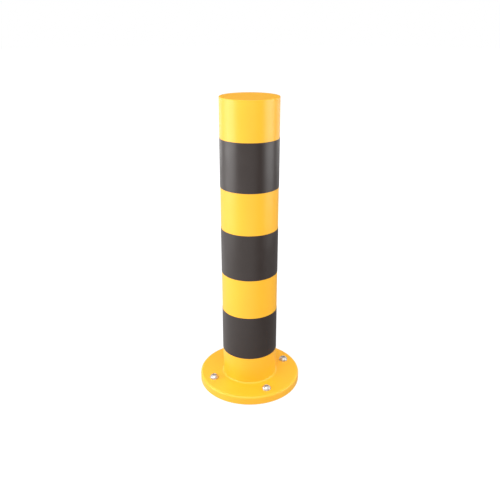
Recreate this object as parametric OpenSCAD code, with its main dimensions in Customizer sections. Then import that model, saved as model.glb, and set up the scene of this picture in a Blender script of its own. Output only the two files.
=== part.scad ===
// Steel safety bollard: a round post with a welded lid and base plate, black film bands and fixings.
// Millimetres. +Z is up. The origin is the centre of the base plate's underside.

/* [Post] */
// Outside diameter of the steel tube
post_d = 114.3; // [101.6:0.1:127]
// Wall thickness of the steel tube
post_wall = 3.6; // [2.9:0.1:5]
// Height from the ground to the top of the lid
overall_h = 607; // [590:1:1000]

/* [Base plate] */
// Diameter of the round base plate
plate_d = 215; // [205:1:260]
// Thickness of the base plate
plate_t = 18; // [12:1:25]
// Radius of the base plate's top edge
plate_edge_r = 5; // [1:0.5:6]
// Diameter of the drain hole under the post
drain_d = 50; // [20:1:80]
// Leg of the fillet weld round the foot of the post
weld_leg = 4; // [3:0.5:10]

/* [Lid] */
// Thickness of the lid welded on the tube's end
lid_t = 5; // [4:0.5:10]
// Radius of the lid's top edge
lid_edge_r = 1; // [0.5:0.1:1.5]

/* [Black bands] */
// Number of black bands
band_count = 3; // [1:1:3]
// Height of each black band
band_h = 95; // [50:1:105]
// Height of the yellow gap between black bands
band_gap = 84; // [40:1:100]
// Height of yellow above the top band
band_top_gap = 76; // [20:1:100]
// Thickness of the film
band_t = 0.4; // [0.2:0.1:1]
// Length over which the end of the film laps over its start
lap_l = 14; // [5:1:40]

/* [Fixings] */
// Number of fixings
fixing_count = 4; // [3:1:6]
// Diameter of the circle on which the fixings lie
fixing_pcd = 168; // [156:1:186]
// Diameter of the holes in the base plate
plate_hole_d = 14; // [13.5:0.5:16]
// Diameter of the sleeve nut's domed head
head_d = 17.5; // [17:0.5:20]
// Height of the sleeve nut's domed head
head_h = 5.5; // [5:0.5:8]
// Diameter of the sleeve nut's barrel
barrel_d = 13; // [12.5:0.1:13.4]
// Diameter of the tapped bore in the barrel, for an M10 stud
tapping_d = 8.5; // [8:0.1:9]

/* [Hidden] */
$fn = 96;
eps = 0.01;
post_r = post_d / 2;
bore_r = post_r - post_wall;
tube_l = overall_h - plate_t - lid_t;

weld_toe = 0.4;
weld_land = 1.1;
groove = post_wall - weld_land;

lap_centre_angle = 90;

first_fixing_angle = 45;
washer_d = head_d + 1;
washer_bore_d = 13.6;
washer_t = 1.6;
head_rim_h = 1.2;
head_flat_r = 4.5;
socket_af = 6;
socket_depth = 3.2;
barrel_recess = 1;
thread_depth = plate_t - 3;
thread_lead_in = 1;

band_names = [for (i = [1:band_count]) str("black_band_", i)];
washer_names = [for (i = [1:fixing_count]) str("fixing_washer_", i)];
nut_names = [for (i = [1:fixing_count]) str("sleeve_nut_", i)];

// A disc whose top edge is rounded.
module rounded_disc(r, h, edge_r) {
    rotate_extrude() {
        square([r - edge_r, h]);
        square([r, h - edge_r]);
        translate([r - edge_r, h - edge_r])
            intersection() {
                circle(edge_r);
                square(edge_r);
            }
    }
}

module ring(outer_r, inner_r, h) {
    difference() {
        cylinder(r = outer_r, h = h);
        translate([0, 0, -1]) cylinder(r = inner_r, h = h + 2);
    }
}

// Moves to fixing number i, at the height z.
module at_fixing(i, z) {
    rotate([0, 0, first_fixing_angle + (i - 1) * 360 / fixing_count])
        translate([fixing_pcd / 2, 0, z])
            children();
}

module base_plate() {
    color("gold")
        difference() {
            rounded_disc(plate_d / 2, plate_t, plate_edge_r);
            translate([0, 0, -1]) cylinder(d = drain_d, h = plate_t + 2);
            for (i = [1:fixing_count])
                at_fixing(i, -1) cylinder(d = plate_hole_d, h = plate_t + 2);
        }
}

// A hollow-faced fillet weld in the corner between the post and the plate.
module base_weld() {
    face_r = weld_leg;
    face_centre = weld_leg + weld_toe;
    color("gold")
        translate([0, 0, plate_t])
            rotate_extrude()
                translate([post_r, 0])
                    difference() {
                        square(weld_leg);
                        translate([face_centre, face_centre]) circle(face_r);
                    }
}

// The tube's upper end is bevelled on the outside, as half of the groove for the lid's weld.
module post_tube() {
    color("gold")
        translate([0, 0, plate_t])
            rotate_extrude()
                polygon([
                    [bore_r, 0],
                    [post_r, 0],
                    [post_r, tube_l - groove],
                    [post_r - groove, tube_l],
                    [bore_r, tube_l]
                ]);
}

// The weld fills the groove between the tube and the lid and is dressed flush with them.
module lid_weld() {
    color("gold")
        translate([0, 0, overall_h - lid_t])
            rotate_extrude()
                polygon([
                    [post_r, -groove],
                    [post_r, groove],
                    [post_r - groove, 0]
                ]);
}

module lid_plate() {
    color("gold")
        translate([0, 0, overall_h - lid_t])
            intersection() {
                rounded_disc(post_r, lid_t, lid_edge_r);
                cylinder(r1 = post_r - groove, r2 = post_r - groove + lid_t, h = lid_t);
            }
}

// One turn of self-adhesive film round the tube. Band 1 is the highest.
module black_band(i) {
    z = overall_h - band_top_gap - i * band_h - (i - 1) * band_gap;
    lap_angle = lap_l / (post_r + band_t) * 180 / PI;
    color("dimgray")
        translate([0, 0, z]) {
            ring(post_r + band_t, post_r, band_h);
            rotate([0, 0, lap_centre_angle - lap_angle / 2])
                rotate_extrude(angle = lap_angle)
                    translate([post_r + band_t / 2, 0])
                        square([1.5 * band_t, band_h]);
        }
}

module fixing_washer(i) {
    color("silver")
        at_fixing(i, plate_t)
            ring(washer_d / 2, washer_bore_d / 2, washer_t);
}

// The head is a slice of a sphere that passes through the top of its rim and the edge of its flat crown.
module domed_head() {
    head_r = head_d / 2;
    centre_z = (pow(head_r, 2) - pow(head_flat_r, 2) + pow(head_rim_h, 2) - pow(head_h, 2))
        / (2 * (head_rim_h - head_h));
    dome_r = sqrt(pow(head_r, 2) + pow(head_rim_h - centre_z, 2));
    intersection() {
        cylinder(d = head_d, h = head_h);
        translate([0, 0, centre_z]) sphere(r = dome_r);
    }
}

// A domed nut whose tapped barrel hangs in the plate's hole and takes a stud from below.
module sleeve_nut(i) {
    barrel_l = plate_t + washer_t - barrel_recess;
    color("silver")
        at_fixing(i, plate_t + washer_t)
            difference() {
                union() {
                    domed_head();
                    translate([0, 0, -barrel_l]) cylinder(d = barrel_d, h = barrel_l + eps);
                }
                translate([0, 0, head_h - socket_depth])
                    cylinder(d = socket_af / cos(30), h = socket_depth + 1, $fn = 6);
                translate([0, 0, -barrel_l - 1])
                    cylinder(d = tapping_d, h = thread_depth + 1);
                translate([0, 0, -barrel_l - eps])
                    cylinder(
                        d1 = tapping_d + 2 * thread_lead_in,
                        d2 = tapping_d,
                        h = thread_lead_in + eps
                    );
            }
}

base_plate();
base_weld();
post_tube();
lid_weld();
lid_plate();
for (i = [1:band_count])
    black_band(i);
for (i = [1:fixing_count])
    fixing_washer(i);
for (i = [1:fixing_count])
    sleeve_nut(i);
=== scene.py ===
import math

import bpy
import bmesh
from mathutils import Matrix, Vector, noise


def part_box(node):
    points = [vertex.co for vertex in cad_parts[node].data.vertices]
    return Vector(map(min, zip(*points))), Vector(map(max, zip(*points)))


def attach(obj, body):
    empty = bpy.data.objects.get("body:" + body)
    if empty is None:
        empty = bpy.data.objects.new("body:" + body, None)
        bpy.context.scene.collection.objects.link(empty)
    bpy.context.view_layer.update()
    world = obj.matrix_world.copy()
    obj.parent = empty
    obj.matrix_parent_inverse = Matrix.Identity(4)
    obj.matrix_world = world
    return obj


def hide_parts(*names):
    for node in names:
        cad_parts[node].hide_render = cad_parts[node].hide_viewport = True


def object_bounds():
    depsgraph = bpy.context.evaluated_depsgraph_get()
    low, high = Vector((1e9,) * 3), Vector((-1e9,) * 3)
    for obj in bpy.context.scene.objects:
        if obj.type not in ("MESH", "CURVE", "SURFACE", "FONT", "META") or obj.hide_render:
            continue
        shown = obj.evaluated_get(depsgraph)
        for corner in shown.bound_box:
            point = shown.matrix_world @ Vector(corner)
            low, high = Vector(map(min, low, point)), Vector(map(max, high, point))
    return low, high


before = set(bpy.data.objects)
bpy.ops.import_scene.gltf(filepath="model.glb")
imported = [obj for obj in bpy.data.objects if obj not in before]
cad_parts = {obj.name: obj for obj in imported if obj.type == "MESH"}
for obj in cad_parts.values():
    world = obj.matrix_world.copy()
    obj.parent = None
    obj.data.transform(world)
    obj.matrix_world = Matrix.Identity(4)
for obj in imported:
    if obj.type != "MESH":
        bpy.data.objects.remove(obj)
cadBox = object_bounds()
mm = 0.001
creaseAngle = 35      # degrees; a corner that turns by more stays crisp
roundSegments = 256   # sides of a large turned piece

cameraView = {
    "azimuth": 20.2,      # degrees round the post, 0 looks along +Y
    "distance": 1.1044,   # metres from the post's axis
    "height": 0.7479,     # metres above the ground
    "tilt": 22.04,        # degrees below the horizon
    "turn": -0.043,       # degrees off the post's axis
    "lens": 42.07,
    "sensor": 36,
}


def direction(azimuth, elevation):
    # from the post outwards; azimuth 0 is in front of it, on -Y
    around, up = math.radians(azimuth), math.radians(elevation)
    return Vector((math.sin(around) * math.cos(up), -math.cos(around) * math.cos(up), math.sin(up)))


def addObject(name, data):
    thing = bpy.data.objects.new(name, data)
    bpy.context.scene.collection.objects.link(thing)
    return thing


def makeCamera(view):
    data = bpy.data.cameras.new("camera")
    data.lens = view["lens"]
    data.sensor_width = view["sensor"]
    camera = addObject("camera", data)
    camera.location = direction(view["azimuth"], 0) * view["distance"]
    camera.location.z = view["height"]
    camera.rotation_euler = (
        math.radians(90 - view["tilt"]),
        0,
        math.radians(view["azimuth"] + view["turn"]),
    )
    bpy.context.scene.camera = camera


makeCamera(cameraView)
print("camera placed")


def roundCorners(corners, steps):
    # corners are (radius, height, fillet); each fillet becomes an arc
    outline = []
    for i, (r, z, fillet) in enumerate(corners):
        here = Vector((r, z))
        if fillet == 0:
            outline.append(here)
            continue
        back = (Vector(corners[i - 1][:2]) - here).normalized()
        ahead = (Vector(corners[(i + 1) % len(corners)][:2]) - here).normalized()
        halfAngle = back.angle(ahead) / 2
        centre = here + (back + ahead).normalized() * fillet / math.sin(halfAngle)
        reach = fillet / math.tan(halfAngle)
        first = here + back * reach - centre
        last = here + ahead * reach - centre
        sweep = first.angle_signed(last)
        for step in range(steps + 1):
            turned = first.copy()
            turned.rotate(Matrix.Rotation(-sweep * step / steps, 2))
            outline.append(centre + turned)
    return outline


def fullTurn(count):
    return [2 * math.pi * i / count for i in range(count)]


def aroundAxis(radius, height, angle):
    return Vector((radius * math.cos(angle), radius * math.sin(angle), height))


def turnedRings(outlineAt, angles):
    # one ring of points per outline point; a point on the axis stays a single vertex
    outlines = [outlineAt(angle) for angle in angles]
    rings = []
    for k in range(len(outlines[0])):
        points = [aroundAxis(*outline[k], angle) for outline, angle in zip(outlines, angles)]
        onAxis = all(outline[k][0] == 0 for outline in outlines)
        rings.append(points[:1] if onAxis else points)
    return rings


def skinRings(rings, closeLoop):
    verts = []
    starts = []
    for ring in rings:
        starts.append(len(verts))
        verts.extend(ring)
    faces = []
    pairs = len(rings) if closeLoop else len(rings) - 1
    for k in range(pairs):
        low, high = rings[k], rings[(k + 1) % len(rings)]
        a, b = starts[k], starts[(k + 1) % len(rings)]
        count = max(len(low), len(high))
        for i in range(count):
            j = (i + 1) % count
            face = [a + i, a + j] if len(low) > 1 else [a]
            face += [b + j, b + i] if len(high) > 1 else [b]
            faces.append(face)
    return verts, faces


def joinParts(parts):
    verts, faces = [], []
    for partVerts, partFaces in parts:
        faces += [[len(verts) + index for index in face] for face in partFaces]
        verts += partVerts
    return verts, faces


def meshOf(name, verts, faces):
    mesh = bpy.data.meshes.new(name)
    mesh.from_pydata(verts, [], faces)
    bm = bmesh.new()
    bm.from_mesh(mesh)
    bmesh.ops.recalc_face_normals(bm, faces=bm.faces)
    bm.to_mesh(mesh)
    bm.free()
    return mesh


def smoothPiece(piece, crease=creaseAngle):
    mesh = piece.data
    mesh.polygons.foreach_set("use_smooth", [True] * len(mesh.polygons))
    mesh.set_sharp_from_angle(angle=math.radians(crease))
    weighted = piece.modifiers.new("evenNormals", "WEIGHTED_NORMAL")
    weighted.keep_sharp = True


def makePiece(name, verts, faces, materials, slot, crease=creaseAngle):
    piece = addObject(name, meshOf(name, verts, faces))
    for material in materials:
        piece.data.materials.append(material)
    smoothPiece(piece, crease)
    return piece


def turnPiece(name, outlineAt, materials, slot, segments=roundSegments, closeLoop=True):
    rings = turnedRings(outlineAt, fullTurn(segments))
    verts, faces = skinRings(rings, closeLoop)
    return makePiece(name, verts, faces, materials, slot)


def standFor(piece, node):
    # nothing moves, so every piece rides the one body
    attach(piece, "root")
    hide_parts(node)


def countNodes(prefix):
    return sum(node.startswith(prefix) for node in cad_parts)


def emptyTree(owner):
    owner.use_nodes = True
    owner.node_tree.nodes.clear()
    return owner


def newFinish(name):
    return emptyTree(bpy.data.materials.new(name))


def addNode(owner, kind, inputs, **settings):
    node = owner.node_tree.nodes.new(kind)
    for key, value in settings.items():
        setattr(node, key, value)
    for socket, value in inputs.items():
        if isinstance(value, bpy.types.NodeSocket):
            owner.node_tree.links.new(value, node.inputs[socket])
        else:
            node.inputs[socket].default_value = value
    return node


def objectPoint(finish, scale=(1, 1, 1)):
    place = addNode(finish, "ShaderNodeTexCoord", {})
    return addNode(
        finish, "ShaderNodeMapping", {"Vector": place.outputs["Object"], "Scale": scale}
    ).outputs["Vector"]


def noiseOf(finish, vector, featureSize, detail, roughness=0.5):
    # featureSize is the width of one blotch, in metres
    return addNode(
        finish,
        "ShaderNodeTexNoise",
        {"Vector": vector, "Scale": 1 / featureSize, "Detail": detail, "Roughness": roughness},
    ).outputs["Fac"]


noiseReach = (0.3, 0.7)   # most of a noise's values lie between these


def spread(owner, value, low, high, reach=noiseReach):
    return addNode(
        owner,
        "ShaderNodeMapRange",
        {"Value": value, "From Min": reach[0], "From Max": reach[1], "To Min": low, "To Max": high},
    ).outputs["Result"]


def mottle(finish, patches, first, second, reach=noiseReach):
    amount = spread(finish, patches, 0, 1, reach)
    ramp = addNode(finish, "ShaderNodeValToRGB", {"Fac": amount})
    ramp.color_ramp.elements[0].color = (*first, 1)
    ramp.color_ramp.elements[1].color = (*second, 1)
    return ramp.outputs["Color"]


def bumps(finish, height, depth, under=None):
    inputs = {"Height": height, "Distance": depth, "Strength": 1.0}
    if under is not None:
        inputs["Normal"] = under
    return addNode(finish, "ShaderNodeBump", inputs).outputs["Normal"]


def closeFinish(finish, inputs):
    shader = addNode(finish, "ShaderNodeBsdfPrincipled", inputs)
    addNode(finish, "ShaderNodeOutputMaterial", {"Surface": shader.outputs["BSDF"]})
    return finish


powderLook = {
    "colour": (0.95, 0.475, 0.022),
    "deeperColour": (0.92, 0.45, 0.018),
    "patchSize": 90 * mm,
    "peelSize": 2.4 * mm,
    "peelDepth": 0.045 * mm,
    "grainSize": 0.5 * mm,
    "grainDepth": 0.004 * mm,
    "gloss": (0.34, 0.42),
}


def powderCoat(look):
    finish = newFinish("yellowPowderCoat")
    point = objectPoint(finish)
    patches = noiseOf(finish, point, look["patchSize"], 3)
    peel = noiseOf(finish, point, look["peelSize"], 1.5)
    grain = noiseOf(finish, point, look["grainSize"], 1)
    flow = bumps(finish, peel, look["peelDepth"])
    return closeFinish(
        finish,
        {
            "Base Color": mottle(finish, patches, look["colour"], look["deeperColour"]),
            "Roughness": spread(finish, patches, *look["gloss"]),
            "Normal": bumps(finish, grain, look["grainDepth"], flow),
        },
    )


filmLook = {
    "colour": (0.0215, 0.0132, 0.0106),
    "paleColour": (0.0250, 0.0164, 0.0138),
    "streakAround": 60 * mm,
    "streakUp": 1.6 * mm,
    "streakDepth": 0.004 * mm,
    "patchSize": 35 * mm,
    "gloss": (0.33, 0.42),
}


def blackFilm(look):
    finish = newFinish("blackFilm")
    point = objectPoint(finish)
    stretch = objectPoint(finish, (1, 1, look["streakAround"] / look["streakUp"]))
    streaks = noiseOf(finish, stretch, look["streakAround"], 2)
    patches = noiseOf(finish, point, look["patchSize"], 4)
    return closeFinish(
        finish,
        {
            "Base Color": mottle(finish, patches, look["colour"], look["paleColour"]),
            "Roughness": spread(finish, patches, *look["gloss"]),
            "Normal": bumps(finish, streaks, look["streakDepth"]),
        },
    )


zincLook = {
    "colour": (0.62, 0.60, 0.58),
    "dullColour": (0.50, 0.49, 0.48),
    "patchSize": 5 * mm,
    "ringPitch": 0.35 * mm,
    "ringWaver": 0.4,
    "ringDepth": 0.003 * mm,
    "gloss": (0.38, 0.50),
}


def zincPlate(look, name, turned):
    finish = newFinish(name)
    point = objectPoint(finish)
    patches = noiseOf(finish, point, look["patchSize"], 4, 0.6)
    if turned:
        # lathe rings round the piece's own axis; at scale 1 the wave repeats every pi / 10
        marks = addNode(
            finish,
            "ShaderNodeTexWave",
            {
                "Vector": point,
                "Scale": math.pi / 10 / look["ringPitch"],
                "Distortion": look["ringWaver"],
            },
            wave_type="RINGS",
            rings_direction="Z",
        ).outputs["Fac"]
    else:
        marks = noiseOf(finish, point, look["ringPitch"] * 2, 3)
    return closeFinish(
        finish,
        {
            "Base Color": mottle(finish, patches, look["colour"], look["dullColour"]),
            "Metallic": 1.0,
            "Roughness": spread(finish, patches, *look["gloss"]),
            "Normal": bumps(finish, marks, look["ringDepth"]),
        },
    )


bareLook = {
    "colour": (0.10, 0.10, 0.105),
    "rustColour": (0.13, 0.085, 0.06),
    "patchSize": 14 * mm,
    "rustReach": (0.45, 0.75),   # higher values leave less rust
    "scaleSize": 1.1 * mm,
    "scaleDepth": 0.02 * mm,
    "metallic": 0.6,             # mill scale dulls the bare metal
    "gloss": (0.5, 0.7),
}


def bareSteel(look):
    finish = newFinish("bareSteelInside")
    point = objectPoint(finish)
    patches = noiseOf(finish, point, look["patchSize"], 5, 0.6)
    millScale = noiseOf(finish, point, look["scaleSize"], 3)
    return closeFinish(
        finish,
        {
            "Base Color": mottle(finish, patches, look["colour"], look["rustColour"], look["rustReach"]),
            "Metallic": look["metallic"],
            "Roughness": spread(finish, patches, *look["gloss"]),
            "Normal": bumps(finish, millScale, look["scaleDepth"]),
        },
    )


coat = powderCoat(powderLook)
film = blackFilm(filmLook)
turnedZinc = zincPlate(zincLook, "turnedZinc", True)
stampedZinc = zincPlate(zincLook, "stampedZinc", False)
bare = bareSteel(bareLook)
print("finishes mixed")


basePlate = {
    "topEdge": 5.0 * mm,
    "bottomEdge": 0.6 * mm,
    "holeRadius": 7.0 * mm,
    "drainRadius": 25.0 * mm,
    "holeEdge": 0.6 * mm,
    "holeSegments": 64,
    "edgeSteps": 8,
}
fixingCount = countNodes("sleeve_nut_")
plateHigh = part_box("base_plate")[1]


def middleOf(node):
    low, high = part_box(node)
    return (low + high) / 2


def holeCutters(sizes, places, low, high):
    # each cutter flares at both ends and runs on past the plate, so the hole gets a softened rim
    radius, edge = sizes["holeRadius"], sizes["holeEdge"]
    corner = edge * 0.3   # puts the rim's middle point about where a round edge would have it
    flare = [
        (radius + 2 * edge - corner, -corner),
        (radius + corner, corner),
        (radius, edge),
    ]
    outline = [(0, low - corner)]
    outline += [(r, low + z) for r, z in flare]
    outline += [(r, high - z) for r, z in reversed(flare)]
    outline.append((0, high + corner))
    verts, faces = skinRings(turnedRings(lambda a: outline, fullTurn(sizes["holeSegments"])), False)
    moved = [([v + Vector((place.x, place.y, 0)) for v in verts], faces) for place in places]
    return meshOf("cutter", *joinParts(moved))


def drill(piece, cutterMesh):
    cutter = addObject("cutter", cutterMesh)
    piece.modifiers.clear()
    cut = piece.modifiers.new("holes", "BOOLEAN")
    cut.operation = "DIFFERENCE"
    cut.solver = "EXACT"
    cut.object = cutter
    depsgraph = bpy.context.evaluated_depsgraph_get()
    drilled = bpy.data.meshes.new_from_object(piece.evaluated_get(depsgraph))
    piece.modifiers.clear()
    piece.data = drilled
    bpy.data.objects.remove(cutter)


def makeBasePlate(sizes):
    top = plateHigh.z
    outline = roundCorners([
        (sizes["drainRadius"], 0, sizes["holeEdge"]),
        (plateHigh.x, 0, sizes["bottomEdge"]),
        (plateHigh.x, top, sizes["topEdge"]),
        (sizes["drainRadius"], top, sizes["holeEdge"]),
    ], sizes["edgeSteps"])
    piece = turnPiece("basePlate", lambda a: outline, [coat], "yellow_powder_coat")
    places = [middleOf(f"sleeve_nut_{i + 1}") for i in range(fixingCount)]
    drill(piece, holeCutters(sizes, places, 0, top))
    smoothPiece(piece)
    return piece


standFor(makeBasePlate(basePlate), "base_plate")
print("base plate turned and drilled")


tubeLow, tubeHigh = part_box("post_tube")
postRadius = tubeHigh.x
footWeld = {
    "wander": 0.25 * mm,   # how far the toe lines stray
    "wanderPace": 5.0,     # they stray about six times this often on the way round
    "toesApart": 9,        # far enough apart in the noise for the two lines to stray on their own
    "hollow": 0.88,        # 0 is a flat face, 1 is a full quarter round
    "rippleLength": 2.6 * mm,
    "rippleDepth": 0.12 * mm,
    "rippleSlant": 1.2,    # the middle of a ripple runs ahead by a quarter of this, in ripples
    "root": 0.3 * mm,      # how far the ends of the face sink into post and plate
    "rows": 12,
    "segments": 1080,
}


def makeFootWeld(sizes):
    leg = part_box("base_weld")[1].x - postRadius
    top = plateHigh.z
    root = sizes["root"]

    def legAt(angle, height):
        # noise stays below 1, so the weld never grows past its leg in the frame
        place = aroundAxis(sizes["wanderPace"], height, angle)
        return leg + sizes["wander"] * (noise.noise(place) - 1)

    def sectionAt(angle):
        legUp = legAt(angle, 0)
        legOut = legAt(angle, sizes["toesApart"])
        upper = Vector((postRadius, top + legUp))
        lower = Vector((postRadius + legOut, top))
        section = [Vector((postRadius - root, top + legUp))]
        for row in range(sizes["rows"] + 1):
            t = row / sizes["rows"]
            sweep = t * math.pi / 2
            hollow = Vector((
                postRadius + legOut * (1 - math.cos(sweep)),
                top + legUp * (1 - math.sin(sweep)),
            ))
            face = upper.lerp(lower, t).lerp(hollow, sizes["hollow"])
            phase = angle * (postRadius + leg / 2) / sizes["rippleLength"]
            phase += sizes["rippleSlant"] * t * (1 - t)
            ripple = abs(math.sin(math.pi * phase)) * sizes["rippleDepth"] * math.sin(math.pi * t)
            section.append(face - Vector((ripple, ripple)))
        section.append(Vector((postRadius + legOut, top - root)))
        section.append(Vector((postRadius - root, top - root)))
        return section

    return turnPiece("footWeld", sectionAt, [coat], "yellow_powder_coat", sizes["segments"])


standFor(makeFootWeld(footWeld), "base_weld")
print("foot weld laid")


lidWeldLow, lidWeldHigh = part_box("lid_weld")
lidLow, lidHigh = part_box("lid_plate")
post = {
    "wall": 3.6 * mm,
    "groove": (lidWeldHigh.z - lidWeldLow.z) / 2,
    "lidEdge": 1.0 * mm,
    "edgeSteps": 8,
    "dressing": 0.03 * mm,   # unevenness left where the lid's weld was ground flush
    "dressingPace": 14,      # it changes about six times this often on the way round
    "weldRows": 8,
    "weldSegments": 512,
}


def makePostTube(sizes):
    outline = [
        (postRadius - sizes["wall"], tubeLow.z),
        (postRadius, tubeLow.z),
        (postRadius, tubeHigh.z - sizes["groove"]),
        (postRadius - sizes["groove"], tubeHigh.z),
        (postRadius - sizes["wall"], tubeHigh.z),
    ]
    piece = turnPiece("postTube", lambda a: outline, [coat, bare], "yellow_powder_coat")
    for face in piece.data.polygons:
        if Vector(face.center[:2]).length < postRadius - sizes["wall"] / 2:
            face.material_index = 1
    return piece


def makeLidWeld(sizes):
    middle = middleOf("lid_weld").z

    def sectionAt(angle):
        section = [Vector((postRadius - sizes["groove"], middle))]
        for row in range(sizes["weldRows"] + 1):
            t = row / sizes["weldRows"]
            waviness = noise.noise(aroundAxis(sizes["dressingPace"], 3 * t, angle))
            # deepest in the middle of the weld, nothing where it meets the tube and the lid
            dip = sizes["dressing"] * (0.5 + 0.5 * waviness) * 4 * t * (1 - t)
            section.append(Vector((postRadius - dip, middle + (2 * t - 1) * sizes["groove"])))
        return section

    return turnPiece("lidWeld", sectionAt, [coat], "yellow_powder_coat", sizes["weldSegments"])


def makeLid(sizes):
    outline = roundCorners([
        (0, lidLow.z, 0),
        (postRadius - sizes["groove"], lidLow.z, 0),
        (postRadius, lidLow.z + sizes["groove"], 0),
        (postRadius, lidHigh.z, sizes["lidEdge"]),
        (0, lidHigh.z, 0),
    ], sizes["edgeSteps"])
    return turnPiece("lidPlate", lambda a: outline, [coat], "yellow_powder_coat", closeLoop=False)


standFor(makePostTube(post), "post_tube")
standFor(makeLidWeld(post), "lid_weld")
standFor(makeLid(post), "lid_plate")
print("post and lid made")


filmBand = {
    "thickness": 0.4 * mm,
    "edge": 0.12 * mm,
    "edgeSteps": 3,
    "bury": 0.05 * mm,     # how far the film's inside sinks into what it lies on
    "lapCentre": 90,       # degrees, at the back
    "lapLength": 14 * mm,
    "lapRise": 2.0 * mm,   # how long the outer layer takes to climb over the inner one
    "lapTip": 0.02,        # share of the film's thickness where the lap begins
    "lapEdge": 0.4,        # the edge's radius stays within this share of the lap's height
    "lapSteps": 28,
    "lapSkew": (0.35 * mm, -0.25 * mm, 0.3 * mm),
}


def filmOutline(inner, outer, low, high, edge, steps):
    return roundCorners([
        (inner, low, 0),
        (outer, low, edge),
        (outer, high, edge),
        (inner, high, 0),
    ], steps)


def lapSections(sizes, skin, low, high, skew):
    # the end of the film climbs over its start and lies a little out of line
    turn = sizes["lapLength"] / skin
    start = math.radians(sizes["lapCentre"]) - turn / 2
    tip = sizes["lapTip"]
    sections = []
    for step in range(sizes["lapSteps"] + 1):
        along = step / sizes["lapSteps"]
        climbed = min(1, along * sizes["lapLength"] / sizes["lapRise"])
        layer = sizes["thickness"] * (tip + (1 - tip) * climbed * climbed * (3 - 2 * climbed))
        lift = skew * along
        outline = filmOutline(
            skin - sizes["bury"],
            skin + layer,
            low + max(lift, 0),
            high + min(lift, 0),
            min(sizes["edge"], layer * sizes["lapEdge"]),
            sizes["edgeSteps"],
        )
        sections.append([aroundAxis(*point, start + turn * along) for point in outline])
    return sections


def loftWithEnds(sections):
    size = len(sections[0])
    verts = [point for section in sections for point in section]
    faces = [list(range(size)), list(range(len(verts) - size, len(verts)))]
    for first in range(0, len(verts) - size, size):
        for k in range(size):
            n = (k + 1) % size
            faces.append([first + k, first + n, first + size + n, first + size + k])
    return verts, faces


def makeBand(sizes, number):
    low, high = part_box(f"black_band_{number}")
    skin = postRadius + sizes["thickness"]
    outline = filmOutline(
        postRadius - sizes["bury"], skin, low.z, high.z, sizes["edge"], sizes["edgeSteps"]
    )
    turn = skinRings(turnedRings(lambda a: outline, fullTurn(roundSegments)), True)
    skew = sizes["lapSkew"][number - 1]
    lap = loftWithEnds(lapSections(sizes, skin, low.z, high.z, skew))
    return makePiece(f"blackBand{number}", *joinParts([turn, lap]), [film], "black_film")


for number in range(1, countNodes("black_band_") + 1):
    standFor(makeBand(filmBand, number), f"black_band_{number}")
print("bands wrapped")


fixingSegments = 96
washer = {
    "boreRadius": 6.8 * mm,
    "burrEdge": 0.15 * mm,
    "roundEdge": 0.45 * mm,
    "edgeSteps": 4,
}


def makeWasher(sizes, number):
    low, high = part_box(f"fixing_washer_{number}")
    radius = (high.x - low.x) / 2
    thick = high.z - low.z
    outline = roundCorners([
        (sizes["boreRadius"], 0, sizes["burrEdge"]),
        (radius, 0, sizes["burrEdge"]),
        (radius, thick, sizes["roundEdge"]),
        (sizes["boreRadius"], thick, sizes["roundEdge"] / 2),
    ], sizes["edgeSteps"])
    piece = turnPiece(
        f"washer{number}", lambda a: outline, [stampedZinc], "zinc_plated_steel", fixingSegments
    )
    piece.location = ((low.x + high.x) / 2, (low.y + high.y) / 2, low.z)
    return piece


sleeveNut = {
    "headHeight": 5.5 * mm,
    "rimHeight": 1.2 * mm,
    "rimEdge": 0.25 * mm,
    "rimBlend": 0.4 * mm,      # radius between the rim and the dome
    "crownRadius": 4.5 * mm,
    "crownBlend": 0.5 * mm,
    "domeSteps": 14,
    "edgeSteps": 3,
    "creaseAngle": 28,
    "socketFlats": 6.0 * mm,
    "socketDepth": 3.2 * mm,
    "socketChamfer": 0.35 * mm,
    "socketFlare": 0.6,        # how far the mouth opens, as a share of its chamfer
    "socketDish": 0.45 * mm,   # depth of the dished floor
    "dishStep": (0.5, 0.55),   # halfway out the dish is a little deeper than a plain cone
    "barrelRadius": 6.5 * mm,
    "barrelChamfer": 0.5 * mm,
    "threadCore": 4.25 * mm,
    "threadRoot": 5.0 * mm,
    "threadPitch": 1.5 * mm,
    "threadFlat": 0.1,         # share of the pitch that crest and root each take
    "threadLength": 15 * mm,
    "threadMouth": 1.0 * mm,
    "rowsPerThread": 9,
    "drillTip": 0.9 * mm,
    "turns": (14, 77, 38, -9),   # degrees each nut was left at
}


def hexRadius(flats, angle):
    sixth = math.pi / 3
    return flats / 2 / math.cos((angle + sixth / 2) % sixth - sixth / 2)


def threadRadius(sizes, angle, height):
    # height is measured up from the barrel's end
    core, root, flat = sizes["threadCore"], sizes["threadRoot"], sizes["threadFlat"]
    turn = (height / sizes["threadPitch"] - angle / (2 * math.pi)) % 1
    flank = (1 - abs(2 * turn - 1) - flat) / (1 - 2 * flat)
    runOut = (sizes["threadLength"] - height) / sizes["threadPitch"]
    cut = core + (root - core) * min(1, max(0, flank)) * min(1, max(0, runOut))
    mouth = core + sizes["threadMouth"] - height
    return max(cut, mouth)


def threadRings(sizes, angles):
    # from the drilled bore's blind end down to the thread's mouth
    length = sizes["threadLength"]
    rings = [[Vector((0, 0, length + sizes["drillTip"]))]]
    rows = round(length / sizes["threadPitch"] * sizes["rowsPerThread"])
    for row in range(rows + 1):
        height = length * (1 - row / rows)
        rings.append([aroundAxis(threadRadius(sizes, a, height), height, a) for a in angles])
    return rings


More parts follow.
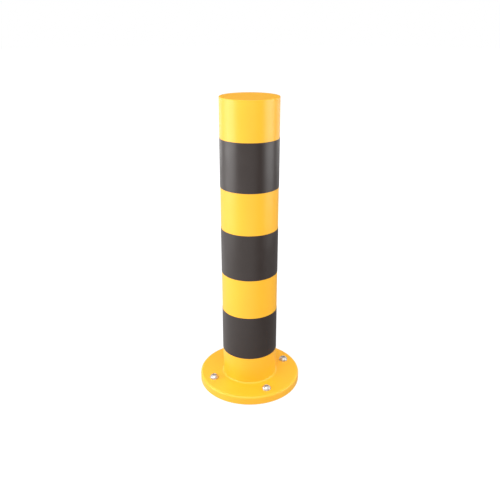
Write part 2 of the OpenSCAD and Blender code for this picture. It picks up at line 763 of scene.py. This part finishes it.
def domePoints(sizes, headRadius, seat):
    # a slice of a sphere from the rim to the edge of the crown
    rim, crown, flat = sizes["rimHeight"], sizes["headHeight"], sizes["crownRadius"]
    centre = (headRadius ** 2 - flat ** 2 + rim ** 2 - crown ** 2) / (2 * (rim - crown))
    dome = math.hypot(headRadius, rim - centre)
    start = math.atan2(rim - centre, headRadius)
    end = math.atan2(crown - centre, flat)
    points = []
    for i in range(1, sizes["domeSteps"]):
        a = start + (end - start) * i / sizes["domeSteps"]
        points.append((dome * math.cos(a), seat + centre + dome * math.sin(a), 0))
    return points


def outsideRings(sizes, headRadius, seat, angles):
    # up the barrel, out under the head and over the dome
    barrel, chamfer = sizes["barrelRadius"], sizes["barrelChamfer"]
    crown = seat + sizes["headHeight"]
    outline = roundCorners([
        (barrel - chamfer, 0, 0),
        (barrel, chamfer, 0),
        (barrel, seat, 0),
        (headRadius, seat, sizes["rimEdge"]),
        (headRadius, seat + sizes["rimHeight"], sizes["rimBlend"]),
        *domePoints(sizes, headRadius, seat),
        (sizes["crownRadius"], crown, sizes["crownBlend"]),
        (sizes["socketFlats"] / 2, crown, 0),
    ], sizes["edgeSteps"])
    # the last point only gives the crown its direction; the socket's own rings follow there
    return turnedRings(lambda a: outline[:-1], angles)


def socketRings(sizes, crown, angles):
    flats, chamfer, dish = sizes["socketFlats"], sizes["socketChamfer"], sizes["socketDish"]
    stepOut, stepDown = sizes["dishStep"]
    mouth = hexRadius(flats, math.pi / 6) + chamfer * sizes["socketFlare"]
    floor = crown - sizes["socketDepth"]
    rings = [[aroundAxis(mouth, crown, a) for a in angles]]
    for share, height in ((1, crown - chamfer), (1, floor), (stepOut, floor - dish * stepDown)):
        rings.append([aroundAxis(share * hexRadius(flats, a), height, a) for a in angles])
    rings.append([Vector((0, 0, floor - dish))])
    return rings


def makeSleeveNut(sizes, number):
    low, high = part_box(f"sleeve_nut_{number}")
    headRadius = (high.x - low.x) / 2
    crown = high.z - low.z                # heights are measured up from the barrel's end
    seat = crown - sizes["headHeight"]
    angles = fullTurn(fixingSegments)
    rings = threadRings(sizes, angles)
    rings += outsideRings(sizes, headRadius, seat, angles)
    rings += socketRings(sizes, crown, angles)
    verts, faces = skinRings(rings, False)
    piece = makePiece(
        f"sleeveNut{number}", verts, faces, [turnedZinc], "zinc_plated_steel", sizes["creaseAngle"]
    )
    piece.location = ((low.x + high.x) / 2, (low.y + high.y) / 2, low.z)
    piece.rotation_euler.z = math.radians(sizes["turns"][number - 1])
    return piece


for number in range(1, fixingCount + 1):
    standFor(makeWasher(washer, number), f"fixing_washer_{number}")
    standFor(makeSleeveNut(sleeveNut, number), f"sleeve_nut_{number}")
print("washers and sleeve nuts fitted")


studio = {
    "floorRadius": 14.0,
    "floorSegments": 128,
    "floorGap": 0.02 * mm,           # keeps the floor just clear of the plate's underside
    "floorColour": (0.14, 0.14, 0.14),
    "floorRoughness": 0.9,
    "floorSeenGlow": (0.90, 1.02),      # glow the floor is seen with, near the post and away from it; the lower glow near the post is a painted shade round its foot
    "paintedShadeReach": (0.13, 0.40),      # metres from the post's axis where that painted shade starts to lift and where it is gone
    "glowAzimuth": -40,              # the floor lights the post most from this side
    "glowReach": (-0.15, 0.25),      # metres towards that side where its light starts and stops growing
    "floorGlow": (0.12, 0.95),       # the least and the most of that light
    "ambient": 0.1,
    "lamps": {
        # azimuth, elevation, distance, width, height, radiance
        "keyLamp": (-20, 40, 3.2, 3.2, 2.6, 1.1),
        "frontLamp": (20, 22, 3.4, 3.4, 2.0, 1.15),
        "ceilingLamp": (20, 65, 3.6, 4.9, 3.9, 2.3),
        "leftPanel": (-58, 4.5, 1.5, 1.35, 0.84, 4.5),
        "rightPanel": (100, 4.5, 1.5, 1.15, 0.84, 4.2),
        "backLeftPanel": (-120, 12, 1.6, 0.6, 1.2, 1.5),
        "backRightPanel": (155, 12, 1.6, 0.6, 1.2, 1.8),
        "backPanel": (200, -2, 2.0, 1.8, 0.5, 1.0),
        "backLeftLamp": (-125, 50, 3.0, 2.4, 1.8, 1.4),
        "backRightLamp": (165, 50, 3.0, 2.4, 1.8, 0.8),
    },
}


def makeFloor(settings):
    finish = newFinish("studioFloor")
    point = addNode(finish, "ShaderNodeTexCoord", {}).outputs["Object"]
    towards = direction(settings["glowAzimuth"], 0)
    ahead = addNode(finish, "ShaderNodeVectorMath", {0: point, 1: towards}, operation="DOT_PRODUCT")
    away = addNode(finish, "ShaderNodeVectorMath", {0: point}, operation="LENGTH")
    glow = spread(finish, ahead.outputs["Value"], *settings["floorGlow"], settings["glowReach"])
    # the camera sees the floor's glow dip close round the post: a painted shade at its foot
    seenGlow = spread(finish, away.outputs["Value"], *settings["floorSeenGlow"], settings["paintedShadeReach"])
    seen = addNode(finish, "ShaderNodeLightPath", {}).outputs["Is Camera Ray"]
    closeFinish(
        finish,
        {
            "Base Color": (*settings["floorColour"], 1),
            "Roughness": settings["floorRoughness"],
            "Specular IOR Level": 0.0,
            "Emission Color": (1, 1, 1, 1),
            "Emission Strength": spread(finish, seen, glow, seenGlow, (0, 1)),
        },
    )
    rim = [aroundAxis(settings["floorRadius"], 0, a) for a in fullTurn(settings["floorSegments"])]
    floor = addObject("studioFloor", meshOf("studioFloor", *skinRings([[Vector()], rim], False)))
    floor.data.materials.append(finish)
    floor.location.z = -settings["floorGap"]


def makeSky(settings):
    world = emptyTree(bpy.data.worlds.new("studioSky"))
    seen = addNode(world, "ShaderNodeLightPath", {}).outputs["Is Camera Ray"]
    strength = spread(world, seen, settings["ambient"], 1, (0, 1))
    sky = addNode(world, "ShaderNodeBackground", {"Color": (1, 1, 1, 1), "Strength": strength})
    addNode(world, "ShaderNodeOutputWorld", {"Surface": sky.outputs["Background"]})
    bpy.context.scene.world = world


def makeLamp(name, azimuth, elevation, distance, width, height, radiance):
    data = bpy.data.lights.new(name, "AREA")
    data.shape = "RECTANGLE"
    data.size = width
    data.size_y = height
    data.energy = radiance * math.pi * width * height
    lamp = addObject(name, data)
    towards = direction(azimuth, elevation)
    lamp.location = towards * distance
    lamp.location.z += cadBox[1].z / 2
    lamp.rotation_euler = towards.to_track_quat("Z", "Y").to_euler()
    lamp.visible_camera = False


makeFloor(studio)
makeSky(studio)
for name, place in studio["lamps"].items():
    makeLamp(name, *place)
bpy.context.scene.view_settings.view_transform = "Standard"
print("studio lit")
